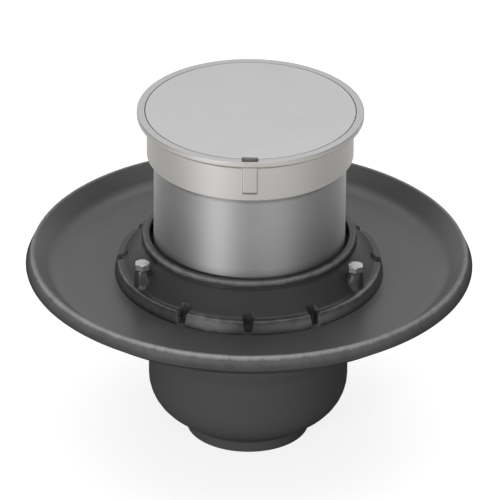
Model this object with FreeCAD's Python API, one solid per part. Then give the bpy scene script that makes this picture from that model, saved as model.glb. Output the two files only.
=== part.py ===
import FreeCAD, Part
import math
import os

from FreeCAD import Vector

# Floor drain with a telescoping riser, in millimetres.
# Z is the drain's axis, Z = 0 is the lower end of the outlet, and the front of the drain faces -Y.

# Roundings shared by the castings
cast_round = 1.5
edge_break = 0.6

# Outlet and sump bowl
outlet_od = 70.4
outlet_bore = 56.4            # minor diameter of a 2-inch pipe thread
outlet_neck = 6.6             # plain neck below the bowl
outlet_lead_in = 1.4          # chamfer at the thread's mouth
thread_length = 18.0
bowl_od = 114.2
bowl_wall = 5.5
bowl_under_slope = 35.0       # degrees, outside of the bowl's floor
bowl_floor_slope = 12.0       # degrees, inside of the bowl's floor
bowl_knuckle = 24.0           # outer radius between wall and floor
bowl_inner_knuckle = 12.0
neck_fillet = 2.5

# Throat, where the riser comes down into the body
throat_clearance = 1.2
throat_flare = 10.0           # height over which the bowl widens to the throat
flare_radius = 12.0
stop_gap = 2.0                # left above the throat's ledge when the riser is pushed right down

# Flange with its dished floor and raised rim
flange_od = 255.4              # to the sharp lower edge, before it is rounded
flange_thickness = 7.5
seat_height = 100.0           # clamp seat above the outlet's end
seat_margin = 1.5             # flat seat outside the clamp
dish_rise = 1.7               # fall of the dish floor towards the seat
rim_run = 15.9                # width of the rim with its inner slope
rim_rise = 11.0                # rim above the foot of its slope
rim_land = 1.8
rim_round = 1.0
rim_face = 7.5                # height of the rim's outer face
rim_draft = 3.4               # the outer face leans in towards its top
dish_fillet = 12.0
throat_fillet = 9.0

# Clamp collar
collar_height = 24.9
lip_wall = 3.9
lip_height = 4.2
skirt_run = 14.5              # from the lip out to the collar's edge
edge_height = 7.6
edge_land = 3.0
edge_draft = 1.5              # the edge is wider at its foot
skirt_wall = 5.5
guide_clearance = 0.7
guide_wall = 4.4
seal_web = 3.6                # metal under the seal
pattern_count = 12            # lugs and seepage slots share one even pattern
slot_width = 5.0
slot_rise = 3.5               # slot above the collar's edge
weep_height = 5.0             # slot through the guide wall

# Bolts, M5 hexagon
bolt_count = 3
bolt_inset = 8.8             # bolt axis out from the lip
bolt_diameter = 5.0
bolt_length = 30.0
bolt_tip = 0.8
head_sides = 6
head_flats = 8.0
head_height = 3.5
head_bevel = 30.0             # degrees
bolt_hole_clearance = 0.5
thread_clearance = 0.05
lug_radius = 4.8
lug_height = 19.3
lug_round = 1.0
boss_floor = 3.0              # metal under the blind hole
hole_spare = 2.0              # blind hole past the bolt's end

# Riser seal, a two-lip rubber ring
seal_gap = 0.3
seal_wall = 2.0
seal_height = 7.0
seal_bead = 0.8
seal_fit = 0.05

# Riser tube
tube_od = 109.0
tube_wall = 2.0
tube_length = 96.5
tube_break = 0.4
riser_drop = 25.0             # travel below the height shown

# Head ring on the riser
riser_show = 77.7             # top of the head above the collar's lip
head_slip = 0.05
head_skirt_wall = 4.0
head_skirt = 27.1             # whole height of the head ring
head_rim = 5.65               # rim out from the skirt
head_edge = 3.5
head_flare = 5.0              # underside of the rim down to the skirt
head_land = 4.4               # flat rim beside the cover
ledge_thickness = 3.7
ledge_reach = 2.5             # ledge inside the riser's bore
pad_count = 6
pad_width = 9.0
pad_height = 1.5
rib_width = 8.2
rib_length = 18.0
rib_proud = 1.0

# Cover plate
cover_thickness = 3.0
cover_gap = 0.6
cover_break = 0.4
notch_width = 8.8             # lifting notch, partly in the plate and partly in the rim around it
notch_depth = 2.6             # the notch in from the rim's bore
notch_wall = 1.3              # rim left outside the notch

# Radii and heights that follow from the sizes above
tube_r = tube_od / 2
throat_r = tube_r + throat_clearance
bowl_r = bowl_od / 2
seal_in_r = tube_r + seal_gap
seal_out_r = seal_in_r + seal_wall
socket_r = seal_out_r + seal_fit
lip_r = socket_r + lip_wall
guide_r = tube_r + guide_clearance
bolt_circle_r = lip_r + bolt_inset
collar_r = lip_r + skirt_run
flange_r = flange_od / 2
slope_foot_r = flange_r - rim_run
seat_r = collar_r + edge_draft + seat_margin
skirt_in_r = tube_r + head_slip
skirt_out_r = skirt_in_r + head_skirt_wall
rim_r = skirt_out_r + head_rim
recess_r = rim_r - head_land
ledge_r = tube_r - tube_wall - ledge_reach

lip_z = seat_height + collar_height
head_z = lip_z + riser_show
ledge_z = head_z - cover_thickness - pad_height
tube_top_z = ledge_z - ledge_thickness
tube_low_z = tube_top_z - tube_length
stop_z = tube_low_z - riser_drop - stop_gap
lug_z = seat_height + lug_height
bolt_end_z = lug_z - bolt_length
blind_z = bolt_end_z - hole_spare
slope_foot_z = seat_height + dish_rise
rim_z = slope_foot_z + rim_rise
edge_z = seat_height + edge_height
seal_seat_z = edge_z + seal_web

bolt_angles = [90 + 360 * i / bolt_count for i in range(bolt_count)]
slot_angles = [
    90 + 360 * i / pattern_count for i in range(pattern_count) if i * bolt_count % pattern_count
]
inside = 1.0                  # how far cutters and bosses reach past or into a wall
run_share = 0.96              # part of a profile's straight run that its two corners may take up


def sharp(r, z):
    """Plain corner of a profile, given by radius and height."""
    return Vector(r, 0, z), 0, False


def arc(r, z, radius):
    """Corner rounded with a tangent arc."""
    return Vector(r, 0, z), radius, True


def bevel(r, z, leg):
    """Corner broken with a flat of that leg."""
    return Vector(r, 0, z), leg, False


def section(corners):
    """Closed face in the XZ plane. Breaks and arcs that meet on a run are shortened until both fit on it."""
    count = len(corners)
    runs = [corners[(i + 1) % count][0] - corners[i][0] for i in range(count)]
    halves = [(runs[i] * -1).getAngle(runs[(i + 1) % count]) / 2 for i in range(-1, count - 1)]
    wanted = []
    for half, (point, size, is_round) in zip(halves, corners):
        wanted.append(size / math.tan(half) if is_round else size)
    taken = [max(wanted[i] + wanted[(i + 1) % count], inside) for i in range(count)]
    room = [run_share * run.Length / reach for run, reach in zip(runs, taken)]
    starts, ends, middles = [], [], []
    for i, (point, size, is_round) in enumerate(corners):
        reach = wanted[i] * min(1, room[i - 1], room[i])
        back = Vector(runs[i - 1]).normalize() * -1
        ahead = Vector(runs[i]).normalize()
        starts.append(point + back * reach)
        ends.append(point + ahead * reach)
        sagitta = reach * (1 / math.cos(halves[i]) - math.tan(halves[i]))
        middles.append(point + (back + ahead).normalize() * sagitta)
    edges = []
    for i, (point, size, is_round) in enumerate(corners):
        if is_round:
            edges.append(Part.Arc(starts[i], middles[i], ends[i]).toShape())
        elif size > 0:
            edges.append(Part.LineSegment(starts[i], ends[i]).toShape())
        edges.append(Part.LineSegment(ends[i], starts[(i + 1) % count]).toShape())
    return Part.Face(Part.Wire(edges))


def turned(corners):
    """Solid of revolution about the drain's axis."""
    return section(corners).revolve(Vector(0, 0, 0), Vector(0, 0, 1), 360)


def around(shape, angles):
    """Copies of a shape made on the +X side, turned to each angle about the axis."""
    copies = []
    for angle in angles:
        copy = shape.copy()
        copy.rotate(Vector(0, 0, 0), Vector(0, 0, 1), angle)
        copies.append(copy)
    return copies


def block(r_in, r_out, width, z_low, z_high):
    """Radial block on the +X side, centred on the X axis."""
    return Part.makeBox(r_out - r_in, width, z_high - z_low, Vector(r_in, -width / 2, z_low))


def post(radius, z_low, z_high):
    """Upright cylinder on the bolt circle, on the +X side."""
    return Part.makeCylinder(radius, z_high - z_low, Vector(bolt_circle_r, 0, z_low))


def drain_body():
    """One casting: threaded outlet, sump bowl, throat with its ledge, and dished flange."""
    outlet_r = outlet_od / 2
    bore_r = outlet_bore / 2
    bowl_in_r = bowl_r - bowl_wall
    throat_out_r = throat_r + bowl_wall
    flare_z = stop_z - bowl_wall
    under_z = seat_height - flange_thickness
    under_bowl_z = outlet_neck + (bowl_r - outlet_r) * math.tan(math.radians(bowl_under_slope))
    floor_z = thread_length + (bowl_in_r - bore_r) * math.tan(math.radians(bowl_floor_slope))
    corners = [
        bevel(outlet_r, 0, edge_break),
        arc(outlet_r, outlet_neck, neck_fillet),
        arc(bowl_r, under_bowl_z, bowl_knuckle),
        arc(bowl_r, flare_z - throat_flare, flare_radius),
        arc(throat_out_r, flare_z, flare_radius),
        arc(throat_out_r, under_z, throat_fillet),
        arc(seat_r, under_z, dish_fillet),
        arc(slope_foot_r, under_z + dish_rise, dish_fillet),
        arc(flange_r, rim_z - rim_face, rim_round),
        arc(flange_r - rim_draft, rim_z, rim_round),
        arc(flange_r - rim_draft - rim_land, rim_z, rim_round),
        arc(slope_foot_r, slope_foot_z, dish_fillet),
        arc(seat_r, seat_height, cast_round),
        bevel(throat_r, seat_height, edge_break),
        arc(throat_r, stop_z, cast_round),
        arc(bowl_in_r, stop_z, cast_round),
        arc(bowl_in_r, floor_z, bowl_inner_knuckle),
        arc(bore_r, thread_length, cast_round),
        sharp(bore_r, outlet_lead_in),
        sharp(bore_r + outlet_lead_in, 0),
    ]
    bosses = around(post(lug_radius, blind_z - boss_floor, seat_height - inside), bolt_angles)
    holes = around(post(bolt_diameter / 2 + thread_clearance, blind_z, seat_height + inside), bolt_angles)
    return turned(corners).fuse(bosses).cut(holes).removeSplitter()


def clamp_collar():
    """Membrane clamp: lip, seal socket and guide bore, conical skirt, bolt lugs and seepage slots."""
    recess_in_r = guide_r + guide_wall
    recess_out_r = collar_r - skirt_wall
    skirt_foot_r = collar_r - edge_land
    corners = [
        bevel(collar_r + edge_draft, seat_height, edge_break),
        arc(collar_r, edge_z, cast_round),
        arc(skirt_foot_r, edge_z, cast_round),
        arc(lip_r, lip_z - lip_height, cast_round),
        bevel(lip_r, lip_z, edge_break),
        bevel(socket_r, lip_z, edge_break),
        sharp(socket_r, seal_seat_z),
        bevel(guide_r, seal_seat_z, edge_break),
        bevel(guide_r, seat_height, edge_break),
        sharp(recess_in_r, seat_height),
        arc(recess_in_r, seal_seat_z - seal_web, cast_round),
        arc(skirt_foot_r - skirt_wall, edge_z, cast_round),
        arc(recess_out_r, edge_z - skirt_wall, cast_round),
        sharp(recess_out_r, seat_height),
    ]
    lug = post(lug_radius, seat_height, lug_z)
    lug = lug.makeFillet(lug_round, [edge for edge in lug.Edges if edge.BoundBox.ZMin > lug_z - inside])
    holes = around(
        post(bolt_diameter / 2 + bolt_hole_clearance / 2, seat_height - inside, lug_z + inside), bolt_angles
    )
    slot_end_r = collar_r + edge_draft + inside
    notch = block(recess_out_r - inside, slot_end_r, slot_width, seat_height - inside, edge_z + slot_rise)
    weep = block(
        guide_r - inside, recess_in_r + inside, slot_width, seat_height - inside, seat_height + weep_height
    )
    slots = around(notch, slot_angles) + around(weep, slot_angles)
    return turned(corners).fuse(around(lug, bolt_angles)).cut(slots).cut(holes).removeSplitter()


def clamp_bolts():
    """Hexagon bolts through the collar's lugs into the body's blind holes."""
    flat_r = head_flats / 2
    point_r = flat_r / math.cos(math.pi / head_sides)
    turns = [2 * math.pi * i / head_sides for i in range(head_sides + 1)]
    hexagon = Part.makePolygon([Vector(point_r * math.cos(t), point_r * math.sin(t), 0) for t in turns])
    crown = turned([
        sharp(0, 0),
        sharp(point_r, 0),
        sharp(point_r, head_height - (point_r - flat_r) * math.tan(math.radians(head_bevel))),
        sharp(flat_r, head_height),
        sharp(0, head_height),
    ])
    head = Part.Face(hexagon).extrude(Vector(0, 0, head_height)).common(crown)
    shank = turned([
        sharp(0, 0),
        sharp(0, -bolt_length),
        sharp(bolt_diameter / 2 - bolt_tip, -bolt_length),
        sharp(bolt_diameter / 2, bolt_tip - bolt_length),
        sharp(bolt_diameter / 2, 0),
    ])
    bolt = head.fuse(shank).removeSplitter()
    bolt.translate(Vector(bolt_circle_r, 0, lug_z))
    return Part.makeCompound(around(bolt, bolt_angles))


def riser_seal():
    """Two-lip rubber ring in the collar's socket."""
    low = seal_seat_z
    top = seal_seat_z + seal_height
    middle = (low + top) / 2
    return turned([
        bevel(seal_out_r, low, edge_break),
        bevel(seal_out_r, top, edge_break),
        bevel(seal_in_r + seal_bead, top, edge_break),
        arc(seal_in_r, top - seal_bead, seal_bead / 2),
        sharp(seal_in_r + seal_bead, middle),
        arc(seal_in_r, low + seal_bead, seal_bead / 2),
        bevel(seal_in_r + seal_bead, low, edge_break),
    ])


def riser_tube():
    """Plain steel tube with broken edges."""
    return turned([
        bevel(tube_r - tube_wall, tube_low_z, tube_break),
        bevel(tube_r, tube_low_z, tube_break),
        bevel(tube_r, tube_top_z, tube_break),
        bevel(tube_r - tube_wall, tube_top_z, tube_break),
    ])


def head_ring():
    """Ring that caps the riser: skirt over the tube, notched rim, padded ledge, and a rib under the notch."""
    skirt_z = head_z - head_skirt
    ring = turned([
        bevel(skirt_in_r, skirt_z, edge_break),
        bevel(skirt_out_r, skirt_z, edge_break),
        arc(skirt_out_r, head_z - head_edge - head_flare, cast_round),
        bevel(rim_r, head_z - head_edge, edge_break),
        bevel(rim_r, head_z, edge_break),
        bevel(recess_r, head_z, edge_break),
        sharp(recess_r, ledge_z),
        bevel(ledge_r, ledge_z, edge_break),
        bevel(ledge_r, tube_top_z, edge_break),
        sharp(skirt_in_r, tube_top_z),
    ])
    pad = block(ledge_r + edge_break, recess_r + inside, pad_width, ledge_z - inside, ledge_z + pad_height)
    pads = around(pad, [360 * i / pad_count for i in range(pad_count)])
    rib_top_z = head_z - head_edge - edge_break
    rib = block(skirt_out_r - inside, skirt_out_r + rib_proud, rib_width, rib_top_z - rib_length, rib_top_z)
    notch = block(recess_r - inside, rim_r - notch_wall, notch_width, head_z - head_edge, head_z + inside)
    return ring.fuse(pads + around(rib, [-90])).cut(around(notch, [-90])).removeSplitter()


def cover_plate():
    """Solid plate, flush with the rim, with the inner part of the lifting notch at the front."""
    cover_r = recess_r - cover_gap
    low = head_z - cover_thickness
    plate = turned([
        sharp(0, low),
        bevel(cover_r, low, cover_break),
        bevel(cover_r, head_z, cover_break),
        sharp(0, head_z),
    ])
    notch = block(recess_r - notch_depth, recess_r + inside, notch_width, low - inside, head_z + inside)
    return plate.cut(around(notch, [-90])).removeSplitter()


os.makedirs("parts", exist_ok=True)
for make in (drain_body, clamp_collar, clamp_bolts, riser_seal, riser_tube, head_ring, cover_plate):
    shape = make()
    print(make.__name__, len(shape.Solids), shape.isValid(), round(shape.Volume / 1000, 1), "cm3")
    shape.exportStep("parts/" + make.__name__ + ".step")
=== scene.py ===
import math

import bmesh
import bpy
import numpy as np
from mathutils import Matrix, Vector


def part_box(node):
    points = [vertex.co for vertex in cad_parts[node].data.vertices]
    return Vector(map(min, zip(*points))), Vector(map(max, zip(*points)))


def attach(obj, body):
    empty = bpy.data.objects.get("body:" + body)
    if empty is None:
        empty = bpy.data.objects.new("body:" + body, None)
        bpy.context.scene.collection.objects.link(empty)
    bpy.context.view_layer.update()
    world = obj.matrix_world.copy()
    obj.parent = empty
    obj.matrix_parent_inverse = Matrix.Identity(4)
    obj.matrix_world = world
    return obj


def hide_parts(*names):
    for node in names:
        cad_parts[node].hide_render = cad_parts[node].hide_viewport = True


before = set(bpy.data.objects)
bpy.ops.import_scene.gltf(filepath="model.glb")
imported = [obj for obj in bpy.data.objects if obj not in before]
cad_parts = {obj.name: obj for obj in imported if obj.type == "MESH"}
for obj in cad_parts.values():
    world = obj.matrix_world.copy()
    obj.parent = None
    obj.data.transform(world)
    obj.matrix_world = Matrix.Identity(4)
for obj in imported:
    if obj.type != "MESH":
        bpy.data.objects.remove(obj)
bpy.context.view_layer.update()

mm = 0.001
mergeGap = 2e-6  # metres
frontAngle = -math.pi / 2
print("frame loaded")


# half width, lowest and highest point of a CAD node, in millimetres
def nodeSize(node):
    low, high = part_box(node)
    return (high.x - low.x) / 2 / mm, low.z / mm, high.z / mm


# 0 below t = 0, 1 above t = 1, and 3t^2 - 2t^3 between
def ease(t):
    t = np.clip(t, 0, 1)
    return t * t * (3 - 2 * t)


# eased step over a width: 0 outside, 1 inside, half where the distance inside is zero
def softStep(inside, width):
    return ease(inside / width + 0.5)


# the higher of two heights, with a fillet of about that size where they cross
def blendMax(a, b, size):
    share = np.clip(0.5 + 0.5 * (a - b) / size, 0, 1)
    return b + (a - b) * share + size * share * (1 - share)


# signed angle to the nearest of count even positions, the first of them at the given angle
def offAngle(theta, first, count):
    pitch = 2 * math.pi / count
    return (theta - first + pitch / 2) % pitch - pitch / 2


# distance in plan from a point at (r, angle off the hole) to a hole axis on a pitch circle: the cosine rule
def planDistance(r, off, circle):
    return np.sqrt(np.maximum(r * r + circle * circle - 2 * r * circle * np.cos(off), 0))


# thread form along a helix: a triangle wave of z / pitch - angle / turn, cut flat at 0 and 1
def threadWave(z, theta, pitch, steepness=1.4, rootCut=0.2):
    turn = (z / pitch - theta / (2 * math.pi)) % 1
    return np.clip(steepness * np.abs(2 * turn - 1) - rootCut, 0, 1)


# how profiles are divided: degrees in an arc's step, millimetres in a run's step and in the guard at its ends
profileRule = {
    "arcStep": 11.0, "leastArc": 3, "arcShare": 0.96, "runStep": 5.0, "guard": 0.25, "guardShare": 0.2,
    "tiny": 1e-6,
}


# corners (r, z, rounding, finest step) to a line of points: tangent arcs, and runs split to the step,
# with a point close to each end of a run so that flats shade flat
def roundedLine(corners, closed=True, runStep=profileRule["runStep"]):
    c = profileRule
    points = np.array([corner[:2] for corner in corners], float)
    sizes = np.array([corner[2] for corner in corners], float)
    steps = [corner[3] if len(corner) > 3 else runStep for corner in corners]
    before = np.roll(points, 1, 0) - points
    after = np.roll(points, -1, 0) - points
    lengthBefore = np.linalg.norm(before, axis=1)
    lengthAfter = np.linalg.norm(after, axis=1)
    before /= lengthBefore[:, None]
    after /= lengthAfter[:, None]
    half = np.arccos(np.clip((before * after).sum(1), -1, 1)) / 2
    wanted = sizes / np.tan(half)
    if not closed:
        wanted[[0, -1]] = 0
    room = c["arcShare"] * lengthAfter / np.maximum(wanted + np.roll(wanted, -1), c["tiny"])
    reach = wanted * np.minimum(1, np.minimum(room, np.roll(room, 1)))
    starts = points + before * reach[:, None]
    ends = points + after * reach[:, None]
    pieces = []
    for i in range(len(points)):
        if reach[i] > c["tiny"]:
            radius = reach[i] * math.tan(half[i])
            middle = before[i] + after[i]
            centre = points[i] + middle / np.linalg.norm(middle) * reach[i] / math.cos(half[i])
            first, last = (math.atan2(*(end - centre)[::-1]) for end in (starts[i], ends[i]))
            turn = (last - first + math.pi) % (2 * math.pi) - math.pi
            byAngle = abs(turn) / math.radians(c["arcStep"])
            byLength = abs(turn) * radius / steps[i]
            count = math.ceil(max(c["leastArc"], byAngle, byLength))
            angle = first + turn * np.linspace(0, 1, count + 1)
            pieces.append(centre + radius * np.stack([np.cos(angle), np.sin(angle)], 1))
        else:
            pieces.append(points[i:i + 1])
        if closed or i < len(points) - 1:
            run = starts[(i + 1) % len(points)] - ends[i]
            length = np.linalg.norm(run)
            edge = min(c["guard"] / length, c["guardShare"])
            part = np.linspace(edge, 1 - edge, max(2, math.ceil(length / steps[i])))
            pieces.append(ends[i] + run * part[:, None])
    return np.concatenate(pieces)


# grids x, y, z, rows along a profile and columns round the axis, to one skin with merged poles, facing out
def gridPiece(name, x, y, z, closedRows=True):
    rows, columns = x.shape
    i = np.arange(rows if closedRows else rows - 1)[:, None]
    j = np.arange(columns)[None, :]
    up, along = (i + 1) % rows, (j + 1) % columns
    faces = np.stack([i * columns + j, i * columns + along, up * columns + along, up * columns + j], -1)
    mesh = bpy.data.meshes.new(name)
    mesh.from_pydata((np.stack([x, y, z], -1) * mm).reshape(-1, 3), [], faces.reshape(-1, 4).tolist())
    bm = bmesh.new()
    bm.from_mesh(mesh)
    bmesh.ops.remove_doubles(bm, verts=bm.verts, dist=mergeGap)
    bmesh.ops.recalc_face_normals(bm, faces=bm.faces)
    bm.to_mesh(mesh)
    bm.free()
    mesh.shade_smooth()
    piece = bpy.data.objects.new(name, mesh)
    bpy.context.scene.collection.objects.link(piece)
    return piece


# a profile turned round the axis: x = r cos, y = r sin
def turnedPiece(name, r, z, theta, closedRows=True):
    return gridPiece(name, r * np.cos(theta), r * np.sin(theta), z, closedRows)


# radius and height of a profile, the same in every column
def turnedGrid(line, theta):
    return line[:, :1] + 0 * theta, line[:, 1:] + 0 * theta


# evenly spaced columns, all the way round
def roundColumns(count):
    return np.linspace(0, 2 * math.pi, count, endpoint=False)[None, :]


# columns drawn together at count even positions: angle - share / count * sin(count * (angle - first))
def crowdedColumns(columns, first, count, share):
    even = roundColumns(columns)
    return even - share / count * np.sin(count * (even - first))


# a finished piece takes the place of the CAD node that it stands for, which is hidden, and goes to its body
# with its finish
def fit(piece, node, body, material):
    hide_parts(node)
    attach(piece, body)
    piece.data.materials.append(material)
    print(piece.name, len(piece.data.polygons), "faces")


# Nodes and shared shader groups

# a node with its settings, each of its inputs linked to a socket or set to a value
def addNode(tree, kind, values=None, **settings):
    node = tree.nodes.new(kind)
    for key, value in settings.items():
        setattr(node, key, value)
    for key, value in (values or {}).items():
        if isinstance(value, bpy.types.NodeSocket):
            tree.links.new(value, node.inputs[key])
        else:
            node.inputs[key].default_value = value
    return node


# an empty group with its sockets, and its two end nodes
def newGroup(name, inputs, outputs):
    tree = bpy.data.node_groups.new(name, "ShaderNodeTree")
    for label, kind, value in inputs:
        socket = tree.interface.new_socket(label, in_out="INPUT", socket_type=kind)
        if value is not None:
            socket.default_value = value
    for label in outputs:
        tree.interface.new_socket(label, in_out="OUTPUT", socket_type="NodeSocketFloat")
    return tree, tree.nodes.new("NodeGroupInput"), tree.nodes.new("NodeGroupOutput")


# a shared group placed in a material with its own values
def useGroup(tree, group, values):
    return addNode(tree, "ShaderNodeGroup", values, node_tree=group)


# one sum, product or other operation on two values
def mathNode(tree, operation, a, b=0.0):
    return addNode(tree, "ShaderNodeMath", {0: a, 1: b}, operation=operation).outputs[0]


# sqrt(a^2 + b^2)
def lengthNode(tree, a, b):
    squares = [mathNode(tree, "MULTIPLY", side, side) for side in (a, b)]
    return mathNode(tree, "SQRT", mathNode(tree, "ADD", *squares))


# x, y and z of a vector
def vectorParts(tree, vector):
    return addNode(tree, "ShaderNodeSeparateXYZ", {0: vector}).outputs


# fractal noise over a position
def noiseNode(tree, position, scale, detail, roughness):
    return addNode(tree, "ShaderNodeTexNoise", {
        "Vector": position, "Scale": scale, "Detail": detail, "Roughness": roughness}).outputs[0]


# a mask stretched from one range to another and held at its ends
def spread(tree, mask, low, high, fromLow=0.3, fromHigh=0.7, **settings):
    values = {"Value": mask, "From Min": fromLow, "From Max": fromHigh, "To Min": low, "To Max": high}
    return addNode(tree, "ShaderNodeMapRange", values, **settings).outputs[0]


# colour between two tones by a mask; 6 and 7 are the Mix node's colour sockets
def mixColour(tree, mask, low, high):
    low, high = (tone if isinstance(tone, bpy.types.NodeSocket) else (*tone, 1) for tone in (low, high))
    return addNode(tree, "ShaderNodeMix", {0: mask, 6: low, 7: high}, data_type="RGBA").outputs[2]


# sand-cast or blasted skin: fine noise plus pebbles four times as wide, and broad blotches for the tone
def makeCastGrain(pebbleScale=0.25):
    tree, source, sink = newGroup(
        "castGrain",
        [("Position", "NodeSocketVector", None), ("Scale", "NodeSocketFloat", 900.0),
         ("Blotch Scale", "NodeSocketFloat", 25.0)],
        ["Height", "Blotch"],
    )
    position, scale, blotchScale = (source.outputs[label] for label in ("Position", "Scale", "Blotch Scale"))
    fine = noiseNode(tree, position, scale, detail=3.0, roughness=0.6)
    wide = mathNode(tree, "MULTIPLY", scale, pebbleScale)
    pebble = noiseNode(tree, position, wide, detail=2.0, roughness=0.5)
    blotch = noiseNode(tree, position, blotchScale, detail=4.0, roughness=0.65)
    mean = mathNode(tree, "MULTIPLY", mathNode(tree, "ADD", fine, pebble), 0.5)
    tree.links.new(mean, sink.inputs["Height"])
    tree.links.new(blotch, sink.inputs["Blotch"])
    return tree


# lathe or brush lines: noise of radius plus height only, so that it runs in rings on walls and flats alike
def makeTurnedLines():
    tree, source, sink = newGroup(
        "turnedLines",
        [("Position", "NodeSocketVector", None), ("Density", "NodeSocketFloat", 2500.0)],
        ["Height"],
    )
    x, y, z = vectorParts(tree, source.outputs["Position"])
    along = mathNode(tree, "ADD", lengthNode(tree, x, y), z)
    lines = addNode(tree, "ShaderNodeTexNoise", {
        "W": mathNode(tree, "MULTIPLY", along, source.outputs["Density"]), "Scale": 1.0, "Detail": 3.0,
        "Roughness": 0.7}, noise_dimensions="1D")
    tree.links.new(lines.outputs[0], sink.inputs["Height"])
    return tree


# ring mark for rubbed wear, painted highlights and painted shade: one minus the distance in (radius, height)
# from an edge circle over a width, broken up by noise and stretched between where the mark starts and where it
# is full
def makeRingWearAndPaintedLight(patchScale=160.0, patchShare=0.8, markStart=0.75, markFull=1.35):
    tree, source, sink = newGroup(
        "ringWearAndPaintedLight",
        [("Position", "NodeSocketVector", None), ("Radius", "NodeSocketFloat", 0.1),
         ("Level", "NodeSocketFloat", 0.1), ("Width", "NodeSocketFloat", 0.002)],
        ["Mask"],
    )
    x, y, z = vectorParts(tree, source.outputs["Position"])
    across = mathNode(tree, "SUBTRACT", lengthNode(tree, x, y), source.outputs["Radius"])
    above = mathNode(tree, "SUBTRACT", z, source.outputs["Level"])
    gap = mathNode(tree, "DIVIDE", lengthNode(tree, across, above), source.outputs["Width"])
    near = mathNode(tree, "SUBTRACT", 1.0, gap)
    patch = noiseNode(tree, source.outputs["Position"], patchScale, detail=4.0, roughness=0.7)
    marked = mathNode(tree, "ADD", near, mathNode(tree, "MULTIPLY", patch, patchShare))
    tree.links.new(spread(tree, marked, 0.0, 1.0, markStart, markFull), sink.inputs["Mask"])
    return tree


castGrain = makeCastGrain()
turnedLines = makeTurnedLines()
ringWearAndPaintedLight = makeRingWearAndPaintedLight()
print("shader groups made")


# Finishes

# material with a Principled BSDF, its plain values set, and Object coordinates
def newFinish(name, **sockets):
    material = bpy.data.materials.new(name)
    material.use_nodes = True
    tree = material.node_tree
    shader = tree.nodes["Principled BSDF"]
    for label, value in sockets.items():
        shader.inputs[label.replace("_", " ")].default_value = value
    position = addNode(tree, "ShaderNodeTexCoord").outputs["Object"]
    return material, tree, shader, position


# grain of a skin at the finish's own scales
def grainOn(tree, position, c):
    return useGroup(tree, castGrain, {
        "Position": position, "Scale": c["grain"], "Blotch Scale": c["blotches"]}).outputs


# mask of an edge circle, used for rubbed wear, painted highlights and painted shade, its sizes in millimetres
def edgeMask(tree, position, radius, level, width):
    values = {"Position": position, "Radius": radius * mm, "Level": level * mm, "Width": width * mm}
    return useGroup(tree, ringWearAndPaintedLight, values).outputs["Mask"]


# bump from a height, with its relief in metres
def bumpOn(tree, shader, height, c):
    bump = addNode(tree, "ShaderNodeBump", {"Strength": c["bump"], "Distance": c["relief"], "Height": height})
    tree.links.new(bump.outputs[0], shader.inputs["Normal"])


# dipped dark coat over cast iron: blotched grey with a grain bump. The coat's gloss is gone below a level,
# on faces whose normal rises less than the steep range, and on edges, which are painted lighter, partly as
# rubbed wear and partly as painted highlights;
# an edge is (radius, level, width, share), followed by (place, size) where only a patch of it is painted
# lighter as a highlight
def coatedIron(name, c, wearAndHighlights):
    material, tree, shader, position = newFinish(
        name, Metallic=0.0, Specular_IOR_Level=0.0, Coat_IOR=c["coatIndex"], Coat_Roughness=c["coatRough"])
    grain = grainOn(tree, position, c)
    colour = mixColour(tree, spread(tree, grain["Blotch"], 0.0, 1.0), c["dark"], c["light"])
    dullStart, dullFull = c["dullLevel"] * mm, (c["dullLevel"] - c["dullFade"]) * mm
    dull = spread(tree, vectorParts(tree, position)[2], 1.0, 0.0, dullFull, dullStart)
    colour = mixColour(tree, dull, colour, c["dullTone"])
    normal = addNode(tree, "ShaderNodeNewGeometry").outputs["Normal"]
    upright = spread(tree, vectorParts(tree, normal)[2], 1.0, 0.0, *c["steep"])
    dull = mathNode(tree, "MAXIMUM", dull, upright)
    for radius, level, width, share, *highlightPatch in wearAndHighlights:
        mask = edgeMask(tree, position, radius, level, width)
        if highlightPatch:
            place, size = highlightPatch
            away = addNode(tree, "ShaderNodeVectorMath", {
                0: position, 1: Vector(place) * mm}, operation="DISTANCE").outputs["Value"]
            mask = mathNode(tree, "MULTIPLY", mask, spread(tree, away, 1.0, 0.0, 0.0, size * mm))
        # painted lighter: rubbed wear, and painted highlights where an edge stands for light
        colour = mixColour(tree, mathNode(tree, "MULTIPLY", mask, share), colour, c["wearAndHighlightTone"])
        dull = mathNode(tree, "MAXIMUM", dull, mask)
    tree.links.new(colour, shader.inputs["Base Color"])
    rough = addNode(tree, "ShaderNodeMix", {
        "Factor": dull, "A": spread(tree, grain["Blotch"], *c["rough"]), "B": c["dullRough"]})
    tree.links.new(rough.outputs[0], shader.inputs["Roughness"])
    tree.links.new(spread(tree, dull, 1.0, 0.0, 0.0, 1.0), shader.inputs["Coat Weight"])
    bumpOn(tree, shader, grain["Height"], c)
    return material
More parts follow.
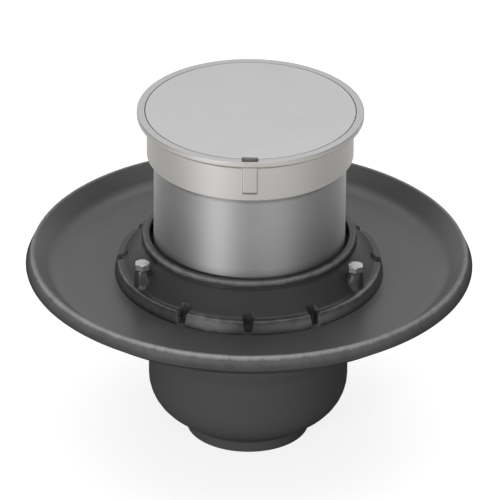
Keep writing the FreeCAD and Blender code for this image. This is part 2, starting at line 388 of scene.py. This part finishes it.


# bare metal with lathe lines: tone and roughness are a weighted sum of lines and broad blotches, and brushing
# draws the glints out along the axis. Where given, the tone goes over to a faced one between two levels,
# a circle is painted darker as shade, and below a foot's level the tone is the foot's painted shade
def turnedMetal(name, c, faced=None, bandShade=None, foot=None, lineShare=0.6, blotchShare=0.4):
    material, tree, shader, position = newFinish(
        name, Metallic=1.0, Anisotropic=c["brushed"], Anisotropic_Rotation=0.25)
    around = addNode(tree, "ShaderNodeTangent", direction_type="RADIAL", axis="Z")
    tree.links.new(around.outputs[0], shader.inputs["Tangent"])
    lines = useGroup(tree, turnedLines, {"Position": position, "Density": c["density"]}).outputs["Height"]
    blotch = grainOn(tree, position, c)["Blotch"]
    tone = mathNode(tree, "ADD", mathNode(tree, "MULTIPLY", lines, lineShare),
                    mathNode(tree, "MULTIPLY", blotch, blotchShare))
    colour = mixColour(tree, spread(tree, tone, 0.0, 1.0), c["dark"], c["light"])
    if faced:
        start, full, facedTone = faced
        above = spread(tree, vectorParts(tree, position)[2], 0.0, 1.0, start * mm, full * mm)
        colour = mixColour(tree, above, colour, facedTone)
    # painted shade: a darker ring round the tube, standing for the shadow under the head ring's skirt
    if bandShade:
        radius, level, width, bandShadeTone = bandShade
        colour = mixColour(tree, edgeMask(tree, position, radius, level, width), colour, bandShadeTone)
    # painted shade: the tube darker below a level, standing for the shade where it goes into the collar
    if foot:
        level, rise, footShadeTone = foot
        below = spread(tree, vectorParts(tree, position)[2], 1.0, 0.0, level * mm, (level + rise) * mm)
        colour = mixColour(tree, below, colour, footShadeTone)
    tree.links.new(colour, shader.inputs["Base Color"])
    tree.links.new(spread(tree, tone, *c["rough"]), shader.inputs["Roughness"])
    bumpOn(tree, shader, lines, c)
    return material


# blasted plate or moulded rubber: faint blotches set the tone, the fine grain sets roughness and bump
def grainedSkin(name, c, **sockets):
    material, tree, shader, position = newFinish(name, **sockets)
    grain = grainOn(tree, position, c)
    colour = mixColour(tree, spread(tree, grain["Blotch"], 0.0, 1.0), c["dark"], c["light"])
    tree.links.new(colour, shader.inputs["Base Color"])
    tree.links.new(spread(tree, grain["Height"], *c["rough"]), shader.inputs["Roughness"])
    bumpOn(tree, shader, grain["Height"], c)
    return material


# Sizes that several pieces share, from the frame
flangeRadius, outletEnd, rimTop = nodeSize("drain_body")
collarFoot, seatLevel, lipTop = nodeSize("clamp_collar")
sealRadius, sealLow, sealTop = nodeSize("riser_seal")
tubeRadius, tubeLow, tubeTop = nodeSize("riser_tube")
rimRadius, headLow, headTop = nodeSize("head_ring")
coverRadius, coverLow, coverTop = nodeSize("cover_plate")
boltEnd, boltTop = nodeSize("clamp_bolts")[1:]

# three bolts, the first of them at the back
boltPlan = {"first": math.pi / 2, "count": 3, "circle": 69.55, "lugRadius": 4.8}

# Drain body casting

bodyCasting = {
    "outletRadius": 35.2, "neckHeight": 6.6, "neckFillet": 2.5,
    "bowlRadius": 57.1, "bowlWall": 5.5, "underSlope": 35.0, "floorSlope": 12.0,
    "knuckle": 24.0, "innerKnuckle": 12.0, "flareHeight": 10.0, "flareRadius": 12.0,
    "throatRadius": 55.7, "ledgeLevel": 70.9, "throatFillet": 9.0,
    "thickness": 7.5, "seatRadius": 78.25, "dishRise": 1.7, "dishFillet": 12.0,
    "rimRun": 15.9, "rimLand": 1.8, "rimFace": 7.5, "rimDraft": 3.4, "rimRound": 1.0, "castRound": 1.5,
    "edgeRound": 0.7, "lowerRound": 0.4, "lowerEdge": 0.1,
    "boreRadius": 28.2, "boreTouch": 0.02, "leadIn": 1.4, "leadRound": 0.1,
    "threadLength": 18.0, "threadPitch": 2.209, "threadDepth": 1.3, "threadStep": 0.3,
    "bossLevel": 84.3, "bossSoft": 1.8, "bossReach": 1.0, "bossStep": 0.6,
    "holeRadius": 2.55, "holeDepth": 12.7, "holeSoft": 0.7, "holeStep": 0.7,
    "touch": 0.1, "columns": 300, "crowding": 0.6,
    "finish": {
        "dark": (0.051, 0.051, 0.052), "light": (0.062, 0.062, 0.063), "wearAndHighlightTone": (0.34, 0.34, 0.34),
        "dullTone": (0.068, 0.068, 0.069), "dullLevel": 94.0, "dullFade": 6.0, "dullRough": 0.7,
        "steep": (0.42, 0.58), "rough": (0.34, 0.44), "coatIndex": 1.573, "coatRough": 0.42,
        "grain": 700.0, "blotches": 22.0, "relief": 0.0006, "bump": 0.35,
    },
}


# closed profile turned round the axis; the bore's radius follows the thread wave, the underside drops to the
# boss level inside each boss circle, and the seat drops by the hole depth inside each bolt hole
def makeDrainBody(c):
    bowlIn = c["bowlRadius"] - c["bowlWall"]
    throatOut = c["throatRadius"] + c["bowlWall"]
    flareTop = c["ledgeLevel"] - c["bowlWall"]
    underside = seatLevel - c["thickness"]
    flange = flangeRadius + c["lowerEdge"]
    slopeFoot = flange - c["rimRun"]
    rise = math.tan(math.radians(c["underSlope"]))
    fall = math.tan(math.radians(c["floorSlope"]))
    bore, cast, edge = c["boreRadius"], c["castRound"], c["edgeRound"]
    line = roundedLine([
        (c["outletRadius"], outletEnd, edge),
        (c["outletRadius"], c["neckHeight"], c["neckFillet"]),
        (c["bowlRadius"], c["neckHeight"] + (c["bowlRadius"] - c["outletRadius"]) * rise, c["knuckle"]),
        (c["bowlRadius"], flareTop - c["flareHeight"], c["flareRadius"]),
        (throatOut, flareTop, c["flareRadius"]),
        (throatOut, underside, c["throatFillet"], c["bossStep"]),
        (c["seatRadius"], underside, c["dishFillet"]),
        (slopeFoot, underside + c["dishRise"], c["dishFillet"]),
        (flange, rimTop - c["rimFace"], c["lowerRound"]),
        (flange - c["rimDraft"], rimTop, c["rimRound"]),
        (flange - c["rimDraft"] - c["rimLand"], rimTop, c["rimRound"]),
        (slopeFoot, seatLevel + c["dishRise"], c["dishFillet"]),
        (c["seatRadius"], seatLevel, cast, c["holeStep"]),
        (c["throatRadius"], seatLevel, edge),
        (c["throatRadius"], c["ledgeLevel"], cast),
        (bowlIn, c["ledgeLevel"], cast),
        (bowlIn, c["threadLength"] + (bowlIn - bore) * fall, c["innerKnuckle"]),
        (bore, c["threadLength"], cast, c["threadStep"]),
        (bore, c["leadIn"], c["leadRound"]),
        (bore + c["leadIn"], outletEnd, c["leadRound"]),
    ])
    theta = crowdedColumns(c["columns"], boltPlan["first"], boltPlan["count"], c["crowding"])
    r, z = turnedGrid(line, theta)
    inBore = (np.abs(r - bore) < c["boreTouch"]) & (z < c["threadLength"])
    fade = ease((c["threadLength"] - cast - z) / c["threadPitch"])
    thread = c["threadDepth"] * threadWave(z, theta, c["threadPitch"]) * fade
    off = offAngle(theta, boltPlan["first"], boltPlan["count"])
    gap = planDistance(r, off, boltPlan["circle"])
    inBoss = softStep(boltPlan["lugRadius"] - gap, c["bossSoft"])
    under = (z > c["bossLevel"]) & (z < underside + c["bossReach"]) & (r > throatOut - c["touch"])
    z = np.where(under, z - (z - c["bossLevel"]) * inBoss, z)
    inHole = softStep(c["holeRadius"] - gap, c["holeSoft"])
    onSeat = (z > seatLevel - c["touch"]) & (r < c["seatRadius"])
    z = np.where(onSeat, z - c["holeDepth"] * inHole, z)
    return turnedPiece("drainBody", np.where(inBore, r + thread, r), z, theta)


bodyWearAndHighlights = [
    (flangeRadius - 2.0, rimTop - 2.6, 6.0, 0.14),  # rim face: lighter, partly rubbed wear and partly painted highlight
    (flangeRadius - 3.2, rimTop - 0.6, 3.0, 0.65),  # crest: painted highlight line, partly rubbed wear
]
bodyFinish = coatedIron("coatedIron", bodyCasting["finish"], bodyWearAndHighlights)
fit(makeDrainBody(bodyCasting), "drain_body", "body", bodyFinish)

# Clamp collar casting

collarCasting = {
    "lipWall": 3.9, "lipHeight": 4.2, "lipMargin": 2.0, "overlap": 0.2,
    "skirtRun": 14.5, "skirtWall": 7.0, "edgeHeight": 7.6, "edgeLand": 3.0, "edgeDraft": 1.5,
    "guideRadius": 55.2, "guideWall": 4.4, "sealWeb": 3.6,
    "lugHeight": 19.3, "lugRadius": 4.2, "lugRound": 1.0, "lugDraft": 14.0, "lugInset": 0.8,
    "slotCount": 12, "slotWidth": 5.0, "slotIn": 69.75, "slotFloor": 0.05, "slotSoft": 0.7,
    "castRound": 1.5, "edgeRound": 0.7, "innerRound": 0.3, "blend": 1.2, "columns": 504, "crowding": 0.5,
    "wallRows": 12, "bendRows": 7, "topRows": 46, "topCrowding": 1.4, "highlightOut": 0.8, "highlightUp": 3.8,
    "finish": {
        "dark": (0.022, 0.022, 0.023), "light": (0.028, 0.028, 0.029), "wearAndHighlightTone": (0.22, 0.22, 0.22),
        "dullTone": (0.035, 0.035, 0.036), "dullLevel": 94.0, "dullFade": 6.0, "dullRough": 0.7,
        "steep": (-0.3, 0.0), "rough": (0.34, 0.44), "coatIndex": 1.449, "coatRough": 0.42,
        "grain": 700.0, "blotches": 22.0, "relief": 0.0006, "bump": 0.35,
    },
}


# outer wall and top as one height field H(r, angle) = highest of land, cone and lugs, less the slots,
# ending at R(angle) = the larger of edge circle and lug; lip, socket and underside are a turned profile
def makeClampCollar(c):
    theta = crowdedColumns(c["columns"], boltPlan["first"], c["slotCount"], c["crowding"])
    collarRadius = collarFoot - c["edgeDraft"]
    lip = collarRadius - c["skirtRun"]
    foot = collarRadius - c["edgeLand"]
    edgeLevel = seatLevel + c["edgeHeight"]
    lipFoot = lipTop - c["lipHeight"]
    slope = (lipFoot - edgeLevel) / (foot - lip)
    off = offAngle(theta, boltPlan["first"], boltPlan["count"])
    reach = boltPlan["lugRadius"] ** 2 - (boltPlan["circle"] * np.sin(off)) ** 2
    lugEdge = np.where(reach > 0, boltPlan["circle"] * np.cos(off) + np.sqrt(np.maximum(reach, 0)), 0)
    outer = blendMax(collarRadius + 0 * theta, lugEdge, c["blend"])

    # flat land at the edge, then a straight rise towards the lip
    def coneLevel(r):
        return blendMax(edgeLevel + 0 * r, edgeLevel + slope * (foot - r), c["blend"])

    # the cone or a lug, the higher: a lug is flat, bends down at its edge and then falls steeply
    def topLevel(r):
        over = planDistance(r, off, boltPlan["circle"]) - c["lugRadius"] + c["lugRound"]
        bend = c["lugRound"] - np.sqrt(c["lugRound"] ** 2 - np.clip(over, 0, c["lugRound"]) ** 2)
        lug = seatLevel + c["lugHeight"] - bend - c["lugDraft"] * np.maximum(over - c["lugRound"], 0)
        inset = ease((outer - c["edgeRound"] - r) / c["lugInset"])
        return blendMax(coneLevel(r), edgeLevel + (lug - edgeLevel) * inset, c["blend"])

    shoulder = coneLevel(outer - c["edgeRound"]) - c["edgeRound"]
    rise = np.linspace(0, 1, c["wallRows"])[:, None]
    turn = np.linspace(0, math.pi / 2, c["bendRows"])[1:, None]
    inward = np.linspace(0, 1, c["topRows"])[1:, None] ** c["topCrowding"]
    lipStart = lip + c["lipMargin"]
    wallR = outer + c["edgeDraft"] * (1 - rise)
    wallZ = seatLevel + (shoulder - seatLevel) * rise
    bendR = outer - c["edgeRound"] * (1 - np.cos(turn))
    bendZ = shoulder + c["edgeRound"] * np.sin(turn)
    topR = (outer - c["edgeRound"]) * (1 - inward) + lipStart * inward
    r = np.concatenate([wallR, bendR, topR])
    z = np.concatenate([wallZ, bendZ, topLevel(topR)])
    slotOff = offAngle(theta, boltPlan["first"], c["slotCount"])
    isSlot = np.abs(off) > math.pi / c["slotCount"]
    across = softStep(c["slotWidth"] / 2 - np.abs(r * np.sin(slotOff)), c["slotSoft"])
    cut = across * softStep(r - c["slotIn"], c["slotSoft"]) * isSlot
    z = seatLevel + (z - seatLevel) * (1 - cut * (1 - c["slotFloor"]))
    sealSeat = edgeLevel + c["sealWeb"]
    recessIn = c["guideRadius"] + c["guideWall"]
    recessOut = collarRadius - c["skirtWall"]
    socket = lip - c["lipWall"]
    joinStart = lipStart - c["overlap"]
    edge, cast, inner = c["edgeRound"], c["castRound"], c["innerRound"]
    line = roundedLine([
        (joinStart, lipFoot - slope * (joinStart - lip), 0),
        (lip, lipFoot, cast),
        (lip, lipTop, edge),
        (socket, lipTop, edge),
        (socket, sealSeat, inner),
        (c["guideRadius"], sealSeat, edge),
        (c["guideRadius"], seatLevel, edge),
        (recessIn, seatLevel, inner),
        (recessIn, edgeLevel, cast),
        (foot - c["skirtWall"], edgeLevel, cast),
        (recessOut, edgeLevel - c["skirtWall"], cast),
        (recessOut, seatLevel, inner),
        (collarFoot - c["edgeRound"], seatLevel, 0),
    ], closed=False)
    innerR, innerZ = turnedGrid(line, theta)
    return turnedPiece("clampCollar", np.concatenate([r, innerR]), np.concatenate([z, innerZ]), theta)


edgeRadius = collarFoot - collarCasting["edgeDraft"]
lipRadius = edgeRadius - collarCasting["skirtRun"]
lipFoot = lipTop - collarCasting["lipHeight"]
collarEdgeWearAndHighlight = edgeRadius, seatLevel + collarCasting["edgeHeight"]
collarWallHighlight = edgeRadius + collarCasting["highlightOut"], seatLevel + collarCasting["highlightUp"]
# collar marks in order: lip painted lighter, partly rubbed wear and partly painted highlight; lip foot only
# dulled; outer wall painted lighter as a highlight, with painted highlight patches front left and front right;
# top edge rubbed lighter with a painted highlight line, and painted highlight patches on its right and left
collarWearAndHighlights = [
    (lipRadius - 0.5, lipTop - 0.6, 3.6, 0.72),
    (lipRadius + 0.6, lipFoot, 2.4, 0.0),  # dull, not lighter
    (*collarWallHighlight, 7.0, 0.3),
    (*collarWallHighlight, 9.0, 1.5, (-24.0, -73.0, seatLevel + 4.0), 21.0),
    (*collarWallHighlight, 7.0, 0.6, (32.0, -70.0, seatLevel + 4.0), 40.0),
    (*collarEdgeWearAndHighlight, 1.6, 0.5),
    (*collarEdgeWearAndHighlight, 3.0, 1.6, (67.0, -35.0, seatLevel + 8.0), 32.0),
    (*collarEdgeWearAndHighlight, 2.6, 0.9, (-72.0, -24.0, seatLevel + 8.0), 22.0),
]
collarFinish = coatedIron("collarIron", collarCasting["finish"], collarWearAndHighlights)
fit(makeClampCollar(collarCasting), "clamp_collar", "body", collarFinish)

# Clamp bolts

clampBolt = {
    "diameter": 5.0, "flats": 8.0, "sides": 6, "headHeight": 3.5, "headMargin": 0.4, "crownMargin": 0.5,
    "bevel": 30.0, "tip": 0.8, "pitch": 0.8, "threadDepth": 0.4, "threadRun": 20.0, "threadStep": 0.14,
    "edgeRound": 0.1, "neckRound": 0.2, "touch": 0.1, "columns": 72,
    "finish": {
        "dark": (0.44, 0.44, 0.43), "light": (0.54, 0.54, 0.53), "rough": (0.32, 0.42), "brushed": 0.0,
        "density": 1800.0, "grain": 1500.0, "blotches": 30.0, "relief": 0.00004, "bump": 0.4,
    },
}


# profile from the tip up to the crown's centre; above the shank the radius is scaled to the hexagon
# r = flat / cos(angle off the flat), the bevel is a cone, and the shank follows the thread wave
def makeClampBolts(c):
    shank, flat, edge = c["diameter"] / 2, c["flats"] / 2, c["edgeRound"]
    under = boltTop - c["headHeight"]
    theta = roundColumns(c["columns"])
    hexagon = flat / np.cos(offAngle(theta, 0, c["sides"]))
    line = roundedLine([
        (0, boltEnd, 0),
        (shank - c["tip"], boltEnd, edge),
        (shank, boltEnd + c["tip"], edge, c["threadStep"]),
        (shank, under, c["neckRound"]),
        (flat, under, edge),
        (flat, boltTop, edge),
        (0, boltTop, 0),
    ], closed=False)
    r, z = turnedGrid(line, theta)
    head = r > shank + c["headMargin"]
    thread = c["threadDepth"] * threadWave(z, theta, c["pitch"])
    thread = thread * ease((boltEnd + c["threadRun"] - z) / c["pitch"]) * (r > shank - c["touch"])
    wide = np.where(head, r * hexagon / flat, r - thread)
    drop = np.maximum(wide - flat, 0) * math.tan(math.radians(c["bevel"]))
    z = np.where(head & (z > under + c["crownMargin"]), z - drop, z)
    x, y = wide * np.cos(theta), wide * np.sin(theta)
    circle = boltPlan["circle"]
    turns = boltPlan["first"] + 2 * math.pi / boltPlan["count"] * np.arange(boltPlan["count"])
    bolts = [gridPiece("clampBolts", x + circle * math.cos(turn), y + circle * math.sin(turn), z,
                       closedRows=False) for turn in turns]
    with bpy.context.temp_override(active_object=bolts[0], selected_editable_objects=bolts):
        bpy.ops.object.join()
    return bolts[0]


boltFinish = turnedMetal("zincSteel", clampBolt["finish"])
fit(makeClampBolts(clampBolt), "clamp_bolts", "body", boltFinish)

# Riser seal

sealRing = {
    "wall": 2.0, "bead": 0.8, "round": 0.4, "columns": 300,
    "finish": {
        "dark": (0.022, 0.022, 0.022), "light": (0.034, 0.034, 0.034), "rough": (0.6, 0.75), "gloss": 0.35,
        "grain": 1200.0, "blotches": 60.0, "relief": 0.0001, "bump": 0.2,
    },
}


# closed two-lip profile turned round the axis
def makeRiserSeal(c):
    inner = sealRadius - c["wall"]
    deep = inner + c["bead"]
    line = roundedLine([
        (sealRadius, sealLow, c["round"]),
        (sealRadius, sealTop, c["round"]),
        (deep, sealTop, c["round"]),
        (inner, sealTop - c["bead"], c["round"]),
        (deep, (sealLow + sealTop) / 2, c["round"]),
        (inner, sealLow + c["bead"], c["round"]),
        (deep, sealLow, c["round"]),
    ])
    theta = roundColumns(c["columns"])
    return turnedPiece("riserSeal", *turnedGrid(line, theta), theta)


sealGloss = sealRing["finish"]["gloss"]
sealFinish = grainedSkin("blackRubber", sealRing["finish"], Metallic=0.0, Specular_IOR_Level=sealGloss)
fit(makeRiserSeal(sealRing), "riser_seal", "body", sealFinish)

# Riser tube

riserTube = {
    "wall": 2.0, "edgeRound": 0.4, "columns": 420,
    "bandShadeDrop": 2.7, "bandShadeWidth": 2.6, "footShadeDrop": 3.5, "footShadeRise": 8.0,
    "finish": {
        "dark": (0.37, 0.37, 0.37), "light": (0.43, 0.43, 0.43), "rough": (0.60, 0.65), "brushed": 0.55,
        "density": 2200.0, "grain": 1500.0, "blotches": 30.0, "relief": 0.00003, "bump": 0.4,
        # painted shade tones: the ring under the head ring and the foot at the collar
        "bandShadeTone": (0.27, 0.27, 0.27), "footShadeTone": (0.20, 0.20, 0.20),
    },
}


# closed wall section turned round the axis
def makeRiserTube(c):
    line = roundedLine([
        (tubeRadius - c["wall"], tubeLow, c["edgeRound"]),
        (tubeRadius, tubeLow, c["edgeRound"]),
        (tubeRadius, tubeTop, c["edgeRound"]),
        (tubeRadius - c["wall"], tubeTop, c["edgeRound"]),
    ])
    theta = roundColumns(c["columns"])
    return turnedPiece("riserTube", *turnedGrid(line, theta), theta)


# painted shade on the tube: a darker ring just under the head ring and a darker foot where it goes into the
# collar
bandShadeLevel = headLow - riserTube["bandShadeDrop"]
footShadeLevel = lipTop - riserTube["footShadeDrop"]
tubeFinish = turnedMetal(
    "riserSteel", riserTube["finish"],
    bandShade=(tubeRadius, bandShadeLevel, riserTube["bandShadeWidth"], riserTube["finish"]["bandShadeTone"]),
    foot=(footShadeLevel, riserTube["footShadeRise"], riserTube["finish"]["footShadeTone"]))
fit(makeRiserTube(riserTube), "riser_tube", "riser", tubeFinish)

# Head ring

headRing = {
    "slip": 0.05, "skirtWall": 4.0, "edge": 3.5, "flare": 2.6, "land": 4.4, "ledge": 3.7, "ledgeReach": 4.5,
    "padCount": 6, "padWidth": 9.0, "padHeight": 1.5,
    "ribWidth": 8.2, "ribLength": 18.0, "ribProud": 1.0, "ribSoft": 0.6,
    "notchWidth": 8.8, "notchWall": 1.3, "notchSoft": 0.3, "notchShare": 0.99, "frontSpan": 1.0,
    "edgeRound": 0.6, "recessRound": 0.3, "innerRound": 0.2, "flareRound": 1.5, "rimRound": 1.5,
    "skirtStep": 0.6, "rimStep": 0.25, "landStep": 0.4, "ledgeStep": 0.6,
    "touch": 0.05, "columns": 520, "crowding": 0.6, "facedFrom": 0.5, "facedTo": 0.2,
    "finish": {
        "dark": (0.45, 0.435, 0.42), "light": (0.50, 0.485, 0.47), "rough": (0.53, 0.60), "brushed": 0.0,
        "density": 1600.0, "grain": 1500.0, "blotches": 30.0, "relief": 0.00003, "bump": 0.4,
        "facedTone": (0.47, 0.47, 0.475),
    },
}


# closed profile turned round the axis; six pads rise on the ledge, the rib swells the skirt at the front,
# and above it the rim drops to the notch's floor between its bore and the wall that is left outside
def makeHeadRing(c):
    skirtIn = tubeRadius + c["slip"]
    skirt = skirtIn + c["skirtWall"]
    recess = rimRadius - c["land"]
    ledge = tubeRadius - c["ledgeReach"]
    ledgeTop = coverLow - c["padHeight"]
    ledgeUnder = ledgeTop - c["ledge"]
    edge, soft, touch = c["edgeRound"], c["ribSoft"], c["touch"]
    line = roundedLine([
        (skirtIn, headLow, edge),
        (skirt, headLow, edge, c["skirtStep"]),
        (skirt, headTop - c["edge"] - c["flare"], c["flareRound"], c["skirtStep"]),
        (rimRadius, headTop - c["edge"], c["rimRound"]),
        (rimRadius, headTop, edge, c["rimStep"]),
        (recess, headTop, c["recessRound"], c["landStep"]),
        (recess, ledgeTop, c["innerRound"], c["ledgeStep"]),
        (ledge, ledgeTop, edge),
        (ledge, ledgeUnder, edge),
        (skirtIn, ledgeUnder, c["innerRound"]),
    ])
    theta = crowdedColumns(c["columns"], frontAngle, 1, c["crowding"])
    r, z = turnedGrid(line, theta)
    ribTop = headTop - c["edge"] - edge
    front = offAngle(theta, frontAngle, 1)
    isFront = np.abs(front) < c["frontSpan"]
    across = softStep(c["ribWidth"] / 2 - np.abs(skirt * np.sin(front)), soft) * isFront
    along = softStep(z - ribTop + c["ribLength"], soft) * softStep(ribTop - z, soft)
    ribbed = np.maximum(r, skirt + c["ribProud"] * across * along)
    outside = (r > skirt - touch) & (z < ribTop)
    pad = offAngle(theta, 0, c["padCount"])
    onPad = softStep(c["padWidth"] / 2 - np.abs(r * np.sin(pad)), soft) * ease((r - ledge - edge) / soft)
    onLedge = (np.abs(z - ledgeTop) < touch) & (r < recess - touch)
    z = np.where(onLedge, z + c["padHeight"] * onPad, z)
    notchFloor = headTop - c["edge"]
    cut = softStep(c["notchWidth"] / 2 - np.abs(r * np.sin(front)), c["notchSoft"]) * isFront
    cut = cut * softStep(rimRadius - c["notchWall"] - r, c["notchSoft"]) * (r > recess - touch)
    z = np.where(z > notchFloor, z - c["notchShare"] * cut * (z - notchFloor), z)
    return turnedPiece("headRing", np.where(outside, ribbed, r), z, theta)


headFaced = headTop - headRing["facedFrom"], headTop - headRing["facedTo"], headRing["finish"]["facedTone"]
headFinish = turnedMetal("nickelBronze", headRing["finish"], faced=headFaced)
fit(makeHeadRing(headRing), "head_ring", "riser", headFinish)

# Cover plate

coverPlate = {
    "notchWidth": 8.8, "notchDepth": 2.0, "notchRound": 0.9, "notchStep": 0.6, "mouthRun": 3.0,
    "edgeRound": 0.3, "grow": 0.25, "guard": 0.3, "hub": 36.0, "fanInner": 7.0, "fanOuter": 14.0,
    "arcPoints": 520, "discRows": 8, "ringRows": 7, "bendRows": 5,
    "finish": {
        "dark": (0.50, 0.50, 0.505), "light": (0.52, 0.52, 0.525), "rough": (0.48, 0.54),
        "grain": 1600.0, "blotches": 35.0, "relief": 0.0002, "bump": 0.3,
    },
}


# plan outline: a circle with a straight-sided notch at the front; angle on the hub for each of its points
def coverOutline(c):
    half = c["notchWidth"] / 2
    radius = coverRadius + c["grow"]
    depth = coverRadius - c["notchDepth"]
    mouth = math.asin(half / radius)
    start = mouth + c["mouthRun"] / radius
    notch = roundedLine([
        (-radius * math.sin(start), -radius * math.cos(start), 0),
        (-half, -radius * math.cos(mouth), c["notchRound"]),
        (-half, -depth, c["notchRound"]),
        (half, -depth, c["notchRound"]),
        (half, -radius * math.cos(mouth), c["notchRound"]),
        (radius * math.sin(start), -radius * math.cos(start), 0),
    ], closed=False, runStep=c["notchStep"])
    arc = np.linspace(start, 2 * math.pi - start, c["arcPoints"])[1:-1] + frontAngle
    rim = radius * np.stack([np.cos(arc), np.sin(arc)], 1)
    third, last = len(notch) // 3, len(notch) - 1
    inner, outer = math.radians(c["fanInner"]), math.radians(c["fanOuter"])
    fan = np.interp(np.arange(len(notch)), [0, third, last - third, last], [-outer, -inner, inner, outer])
    rest = np.linspace(outer, 2 * math.pi - outer, c["arcPoints"])[1:-1]
    return np.concatenate([notch, rim]), np.concatenate([fan, rest]) + frontAngle


# rows from the underside's centre out to the notched outline, up over both edges and back to the top's centre;
# between hub and outline a row is their straight blend
def makeCoverPlate(c):
    outline, spokes = coverOutline(c)
    hub = c["hub"] * np.stack([np.cos(spokes), np.sin(spokes)], 1)
    tangent = np.roll(outline, -1, 0) - np.roll(outline, 1, 0)
    inward = np.stack([-tangent[:, 1], tangent[:, 0]], 1) / np.linalg.norm(tangent, axis=1)[:, None]
    edge = c["edgeRound"]

    # flat rows: the hub's disc, then the blend, then a row where the edge starts to bend
    def face(level):
        share = np.linspace(0, 1, c["ringRows"])[1:, None, None]
        disc = hub * np.linspace(0, 1, c["discRows"])[:, None, None]
        ring = hub * (1 - share) + (outline + inward * (edge + c["guard"])) * share
        rows = np.concatenate([disc, ring, (outline + inward * edge)[None]])
        return rows, np.full(rows.shape[:2], level)

    # quarter circle from the face to the wall
    def bend(level, sign):
        turn = np.linspace(0, math.pi / 2, c["bendRows"])[:, None, None]
        rows = outline + inward * edge * (1 - np.sin(turn))
        return rows, level - sign * edge * (1 - np.cos(turn[..., 0])) + np.zeros(rows.shape[:2])

    topFace, topBend = face(coverTop), bend(coverTop, 1)
    lowFace, lowBend = face(coverLow), bend(coverLow, -1)
    plan, z = (np.concatenate([lowFace[k], lowBend[k][1:], topBend[k][::-1], topFace[k][::-1][1:]])
               for k in (0, 1))
    return gridPiece("coverPlate", plan[..., 0], plan[..., 1], z, closedRows=False)


coverFinish = grainedSkin("coverBronze", coverPlate["finish"], Metallic=1.0)
fit(makeCoverPlate(coverPlate), "cover_plate", "riser", coverFinish)
print("pieces made")

# Floor, light and camera

studio = {
    "floorSize": 1.2, "floorTone": 0.35, "floorRough": 0.9, "floorGlow": 0.80,
    "worldTone": 0.30, "roomTone": 0.15, "ceiling": (0.55, 0.85), "back": (0.3, 0.75),
    "target": (0.00045, 0.0, 0.11285), "distance": 3.95, "elevation": 28.4, "roll": 0.55, "lens": 498.9,
    "clipEnd": 20.0,
}
lamps = {
    "overhead": {"place": (0.0, 0.2, 1.9), "size": 2.4, "power": 30.0},
    "frontLeft": {"place": (-0.95, -1.35, 0.28), "size": 0.5, "power": 16.0},
    "frontRight": {"place": (0.75, -1.5, 0.35), "size": 1.1, "power": 9.0},
}


# a pale square that glows white to the camera and in reflections, and takes the object's shadow
def makeFloor(c):
    half = c["floorSize"] / 2
    corners = [(-half, -half, 0), (half, -half, 0), (half, half, 0), (-half, half, 0)]
    mesh = bpy.data.meshes.new("floor")
    mesh.from_pydata(corners, [], [(0, 1, 2, 3)])
    floor = bpy.data.objects.new("floor", mesh)
    bpy.context.scene.collection.objects.link(floor)
    material, tree, shader = newFinish("floorPaper", Roughness=c["floorRough"])[:3]
    tone = c["floorTone"]
    shader.inputs["Base Color"].default_value = (tone, tone, tone, 1)
    shader.inputs["Emission Color"].default_value = (1, 1, 1, 1)
    path = addNode(tree, "ShaderNodeLightPath").outputs
    seen = mathNode(tree, "MAXIMUM", path["Is Camera Ray"], path["Is Glossy Ray"])
    seen = mathNode(tree, "MAXIMUM", seen, path["Is Transmission Ray"])
    tree.links.new(mathNode(tree, "MULTIPLY", seen, c["floorGlow"]), shader.inputs["Emission Strength"])
    mesh.materials.append(material)


# white to the camera, one soft tone to lit surfaces, and to reflections a room with a bright low backdrop:
# the backdrop is (1 below the ceiling) times (1 behind the object), each eased between two directions
def makeWorld(c):
    world = bpy.data.worlds.new("studio")
    world.use_nodes = True
    tree = world.node_tree
    path = addNode(tree, "ShaderNodeLightPath").outputs
    y, z = vectorParts(tree, addNode(tree, "ShaderNodeTexCoord").outputs["Generated"])[1:]
    low = spread(tree, z, 1.0, 0.0, *c["ceiling"], interpolation_type="SMOOTHSTEP")
    behind = spread(tree, y, 0.0, 1.0, *c["back"], interpolation_type="SMOOTHSTEP")
    mirrored = spread(tree, mathNode(tree, "MULTIPLY", low, behind), c["roomTone"], 1.0, 0.0, 1.0)
    level = addNode(tree, "ShaderNodeMix", {
        "Factor": path["Is Glossy Ray"], "A": c["worldTone"], "B": mirrored})
    seen = mathNode(tree, "MAXIMUM", path["Is Camera Ray"], path["Is Transmission Ray"])
    background = tree.nodes["Background"].inputs
    background["Color"].default_value = (1, 1, 1, 1)
    tree.links.new(mathNode(tree, "MAXIMUM", level.outputs[0], seen), background["Strength"])
    bpy.context.scene.world = world


# a square soft lamp that faces the middle of the drain
def makeLamp(name, c, aim):
    data = bpy.data.lights.new(name, "AREA")
    data.size = c["size"]
    data.energy = c["power"]
    lamp = bpy.data.objects.new(name, data)
    lamp.location = c["place"]
    lamp.rotation_euler = (Vector(c["place"]) - Vector(aim)).to_track_quat("Z", "Y").to_euler()
    bpy.context.scene.collection.objects.link(lamp)


# camera on a circle in front of the drain, tipped down by the elevation and rolled a little
def makeCamera(c):
    data = bpy.data.cameras.new("camera")
    data.lens = c["lens"]
    data.clip_end = c["clipEnd"]
    camera = bpy.data.objects.new("camera", data)
    tip = math.radians(c["elevation"])
    camera.location = Vector(c["target"]) + c["distance"] * Vector((0, -math.cos(tip), math.sin(tip)))
    turn = Matrix.Rotation(math.pi / 2 - tip, 3, "X") @ Matrix.Rotation(math.radians(c["roll"]), 3, "Z")
    camera.rotation_euler = turn.to_euler()
    bpy.context.scene.collection.objects.link(camera)
    bpy.context.scene.camera = camera


makeFloor(studio)
makeWorld(studio)
for lampName, lampValues in lamps.items():
    makeLamp(lampName, lampValues, studio["target"])
makeCamera(studio)
bpy.context.scene.view_settings.view_transform = "Standard"
print("stage, lamps and camera set")
